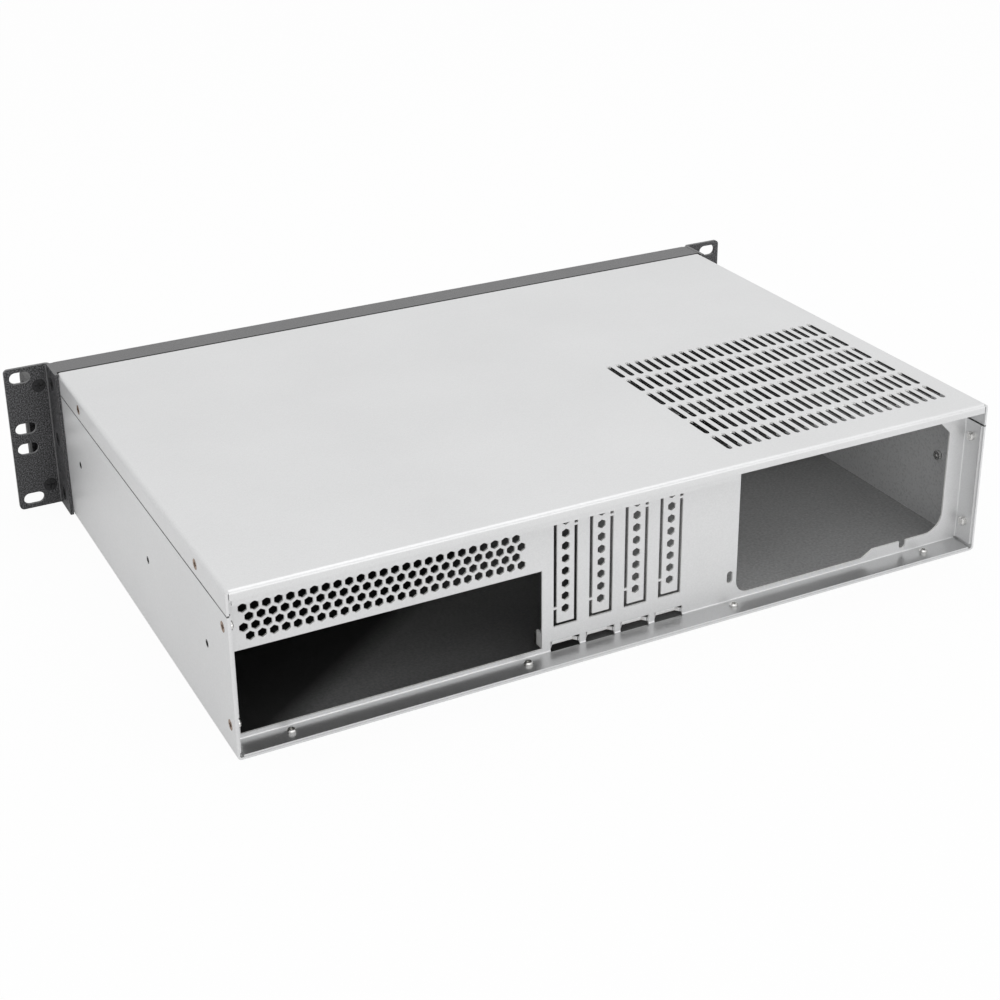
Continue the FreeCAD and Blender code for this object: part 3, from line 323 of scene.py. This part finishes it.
def powder_coat(name, tint, top_sheen, shine):
    """Black powder coat: 0.7 and 1.7 mm orange-peel relief, lighter specks, painted sheen on tops and folds,
    painted seam shadow.
    """
    coat = Finish(name, Metallic=0.0, IOR=1.5, Specular_IOR_Level=shine)
    grain = coat.noise(scale=1500.0, roughness=0.6)
    coarse = coat.noise(scale=600.0)
    clouds = coat.noise(scale=20.0)
    x, y, z = coat.split("Object")
    facing_side, facing_back, facing_up = coat.split("Normal")
    seam = y.between(*SEAM_DEPTH) * (abs(x) < SEAM_HALF_WIDTH) * (z > SEAM_ABOVE)
    speckle = grain.around(0.25, width=5.0) + clouds * 0.2
    black = coat.shades(speckle, tint, darkest=0.05, lightest=6.5)
    # Painted sheen and highlight: tops and the round folds are lightened towards the top's sheen colour
    fold = abs(facing_side).between(*FOLD_FACING) * (abs(facing_back) > FOLD_FACING[0])
    black = coat.blend((facing_up > TOP_FACING) + fold * FOLD_HIGHLIGHT, black, top_sheen)
    # Painted shadow: the seam at the rear edge of the front's upper return is painted near-black
    coat.set(Base_Color=coat.blend(seam, black, SEAM_SHADOW))
    roughness = grain.around(COAT_ROUGHNESS, width=0.2) + clouds.around(0.0, width=0.06)
    coat.set(Roughness=roughness + seam * SEAM_DULLER)
    coat.relief(grain * 0.65 + coarse * 0.35, distance=0.0005, strength=1.0)
    return coat


case_coat = powder_coat("black_powder_coat", CASE_BLACK, CASE_TOP_SHEEN, shine=0.42)
dress(case_coat, "front_panel", "right_ear", "left_ear")
# The handles' coat is a copy of the case's, painted darker as the shade they sit in
handle_coat = powder_coat("black_handle_coat", HANDLE_SHADED_BLACK, HANDLE_TOP_SHEEN, shine=0.2)
dress(handle_coat, "right_handle", "left_handle")


# Screws, nuts and posts
# Turned and plated steel: black screws in the ears and handles, dark bronze ones in the cover and the side
# walls, bright nickel nuts and small screws, and greyer turned posts. The rail nuts' outer ends are painted
# dark as shade in their bores.
BLACK_OXIDE = (0.022, 0.022, 0.023)
DARK_BRONZE = (0.30, 0.20, 0.135)
NICKEL = (0.72, 0.715, 0.70)
NUT_BARREL = (0.70, 0.695, 0.68)
NUT_BORE_SHADE = (0.02, 0.02, 0.02)
NUT_END = 0.2135
TURNED_STEEL = (0.42, 0.42, 0.41)


def plated(name, tint, roughness, metal=1.0, dents=0.00001):
    """Plated steel: fine turning marks and a few darker clouds in the plating."""
    plate = Finish(name, Metallic=metal)
    clouds = plate.noise(scale=700.0, detail=3.0)
    marks = plate.noise(scale=5200.0)
    plate.set(Base_Color=plate.shades(clouds, tint, darkest=0.8, lightest=1.15))
    plate.set(Roughness=clouds.around(roughness, width=0.16))
    plate.relief(marks * 0.4 + clouds * 0.6, distance=dents, strength=0.6)
    return plate


black_oxide = plated("black_oxide", BLACK_OXIDE, roughness=0.14, metal=0.4, dents=0.0004)
dress(black_oxide, "handle_screws", "ear_screws")
dress(plated("dark_bronze", DARK_BRONZE, roughness=0.34), "cover_screws", "rear_side_screws")
dress(plated("bright_nickel", NICKEL, roughness=0.26), "rear_side_nuts", "rear_floor_screws")
rail_nut = plated("rail_nut_nickel", NICKEL, roughness=0.26)
# Painted shade: the rail nut's outer end, which shows through the side wall as its bore, is painted
# near-black
outer_end = abs(rail_nut.split("Object")[0]) > NUT_END
rail_nut.set(Base_Color=rail_nut.blend(outer_end, NUT_BARREL, NUT_BORE_SHADE))
dress(rail_nut, "rail_nuts")
dress(plated("bracket_nickel", NICKEL, roughness=0.28), "bracket_screws", "board_screws", "usb_ports")
dress(plated("turned_steel", TURNED_STEEL, roughness=0.36), "board_standoffs", "board_spacers")


# Control cluster behind the front
# A small green circuit board with two moulded push buttons in their switches, two tinted lamps, and two
# sockets with white tongues. Solder mask covers its copper tracks.
BOARD_GREEN = (0.012, 0.085, 0.030)
TRACK_GREEN = (0.030, 0.150, 0.055)
TRACK_WAVES = 120.0
TRACK_WANDER = 6.0
TRACK_EDGE = 0.62
MASK_ROUGHNESS = 0.33
SWITCH_BLACK = (0.020, 0.020, 0.021)
BUTTON_BLACK = (0.028, 0.028, 0.030)
POWER_GREEN = (0.05, 0.42, 0.09)
DRIVE_RED = (0.50, 0.025, 0.02)
TONGUE_WHITE = (0.78, 0.78, 0.75)


def moulded(name, tint, roughness):
    """Moulded plastic: an even colour with the faint clouds and matt relief that a mould leaves."""
    plastic = Finish(name, IOR=1.49)
    clouds = plastic.noise(scale=260.0)
    matt = plastic.noise(scale=3800.0, detail=1.0)
    plastic.set(Base_Color=plastic.shades(clouds, tint, darkest=0.9, lightest=1.1))
    plastic.set(Roughness=clouds.around(roughness, width=0.1))
    plastic.relief(matt, distance=0.000012, strength=0.4)
    return plastic


def circuit_board(name, mask, track):
    """Solder mask over copper: thin tracks, 2.6 mm apart, show as slightly lighter lines in the green."""
    board = Finish(name, IOR=1.5)
    values = {"Vector": board.place(), "Scale": TRACK_WAVES, "Distortion": TRACK_WANDER}
    wave = board.node("TexWave", {"bands_direction": "X"}, **values)
    tracks = Level(wave.outputs["Fac"]) > TRACK_EDGE
    board.set(Base_Color=board.blend(tracks, mask, track))
    board.set(Roughness=board.noise(scale=400.0).around(MASK_ROUGHNESS, width=0.1))
    board.relief(tracks, distance=0.00003, strength=0.5)
    return board


dress(circuit_board("green_board", BOARD_GREEN, TRACK_GREEN), "control_board")
dress(moulded("black_switch", SWITCH_BLACK, roughness=0.45), "power_switch", "reset_switch")
dress(moulded("black_button", BUTTON_BLACK, roughness=0.26), "power_button", "reset_button")
dress(moulded("green_lens", POWER_GREEN, roughness=0.12), "power_light")
dress(moulded("red_lens", DRIVE_RED, roughness=0.12), "drive_light")
dress(moulded("white_tongue", TONGUE_WHITE, roughness=0.42), "usb_tongues")


# Studio floor
# A white paper sweep just under the case. It goes on as white to the eye, less so to anything shiny, and
# keeps a little of the case's shadow.
PAPER = (0.74, 0.74, 0.74, 1.0)
FLOOR_REACH = 9.0
FLOOR_DROP = 0.0002


def flat_sheet(name, reach, drop):
    """A square level sheet that reaches this far from the middle each way, a little under the case."""
    u, v = np.meshgrid([-reach, reach], [-reach, reach])
    points = np.column_stack([u.ravel(), v.ravel(), np.full(u.size, -drop)])
    mesh = bpy.data.meshes.new(name)
    mesh.from_pydata(points.tolist(), [], [(0, 1, 3, 2)])
    sheet = bpy.data.objects.new(name, mesh)
    bpy.context.scene.collection.objects.link(sheet)
    return sheet


def paper(name, white_to_eye, white_to_metal):
    """White paper lit by the lamps, mixed with plain white for the eye and, less so, for reflections."""
    sweep = Finish(name, Base_Color=PAPER, Roughness=0.9, Specular_IOR_Level=0.1)
    path = sweep.node("LightPath")
    seen = Level(path.outputs["Is Camera Ray"])
    mirrored = Level(path.outputs["Is Glossy Ray"])
    white = sweep.node("Emission", Strength=1.0)
    mixed = sweep.node("MixShader")
    sweep.link(seen * white_to_eye + mirrored * white_to_metal, mixed.inputs[0])
    sweep.link(sweep.shader.outputs[0], mixed.inputs[1])
    sweep.link(white.outputs[0], mixed.inputs[2])
    sweep.link(mixed.outputs[0], sweep.tree.nodes["Material Output"].inputs["Surface"])
    return sweep.material


floor = flat_sheet("studio_floor", FLOOR_REACH, FLOOR_DROP)
floor.data.materials.append(paper("white_paper", white_to_eye=0.95, white_to_metal=0.3))


# Studio light
# An even white room, a large soft box overhead and a little to the rear, and a low wide one behind the case.
ROOM_STRENGTH = 0.82
WHITE = (1.0, 1.0, 1.0, 1.0)


def white_room(strength):
    """The room's light, with plain white where the camera looks past the floor."""
    world = bpy.data.worlds.new("white_room")
    bpy.context.scene.world = world
    world.use_nodes = True
    tree = world.node_tree
    room = tree.nodes["Background"]
    room.inputs["Strength"].default_value = strength
    room.inputs["Color"].default_value = WHITE
    white = tree.nodes.new("ShaderNodeBackground")
    white.inputs["Color"].default_value = WHITE
    white.inputs["Strength"].default_value = 1.0
    path = tree.nodes.new("ShaderNodeLightPath")
    mixed = tree.nodes.new("ShaderNodeMixShader")
    tree.links.new(path.outputs["Is Camera Ray"], mixed.inputs[0])
    tree.links.new(room.outputs[0], mixed.inputs[1])
    tree.links.new(white.outputs[0], mixed.inputs[2])
    tree.links.new(mixed.outputs[0], tree.nodes["World Output"].inputs["Surface"])


def soft_box(name, place, target, width, height, watts):
    """A rectangular lamp that faces a point."""
    lamp = bpy.data.lights.new(name, "AREA")
    lamp.shape = "RECTANGLE"
    lamp.size = width
    lamp.size_y = height
    lamp.energy = watts
    box = bpy.data.objects.new(name, lamp)
    way = Vector(target) - Vector(place)
    box.matrix_world = Matrix.Translation(place) @ way.to_track_quat("-Z", "Y").to_matrix().to_4x4()
    box.visible_camera = False
    bpy.context.scene.collection.objects.link(box)


white_room(ROOM_STRENGTH)
soft_box("overhead_box", place=(-0.1, 0.3, 1.7), target=(0.0, 0.0, 0.05), width=2.4, height=2.0, watts=14.0)
soft_box("rear_box", place=(-0.2, 2.2, 0.4), target=(0.0, 0.1, 0.1), width=3.0, height=0.8, watts=11.0)


# Camera
# Behind the case, on the side of its right ear, looking down on the cover. Its turn, tilt and roll are in
# degrees, its focal length in the picture's pixels and its sensor in millimetres.
CAMERA_PLACE = (0.4234, 0.8388, 0.4818)
CAMERA_TURN = 27.05
CAMERA_TILT = 23.55
CAMERA_ROLL = 0.58
FOCAL_PIXELS = 1818.0
PICTURE_SIZE = 1000.0
SENSOR = 36.0
SHIFT_DOWN = 0.1
FARTHEST_SEEN = 50.0


def set_camera():
    """The camera looks along its turn from straight ahead to the front, tilted down."""
    turn = math.radians(CAMERA_TURN)
    tilt = math.radians(CAMERA_TILT)
    look = Vector((-math.sin(turn) * math.cos(tilt), -math.cos(turn) * math.cos(tilt), -math.sin(tilt)))
    right = Vector((-math.cos(turn), math.sin(turn), 0.0))
    up = right.cross(look)
    axes = Matrix((right, up, -look)).transposed()
    roll = Matrix.Rotation(math.radians(CAMERA_ROLL), 3, look)
    camera = bpy.data.cameras.new("camera")
    camera.sensor_width = SENSOR
    camera.lens = FOCAL_PIXELS * SENSOR / PICTURE_SIZE
    camera.shift_y = -SHIFT_DOWN
    camera.clip_end = FARTHEST_SEEN
    holder = bpy.data.objects.new("camera", camera)
    holder.matrix_world = Matrix.Translation(CAMERA_PLACE) @ (roll @ axes).to_4x4()
    bpy.context.scene.collection.objects.link(holder)
    bpy.context.scene.camera = holder


set_camera()
bpy.context.scene.view_settings.view_transform = "Standard"
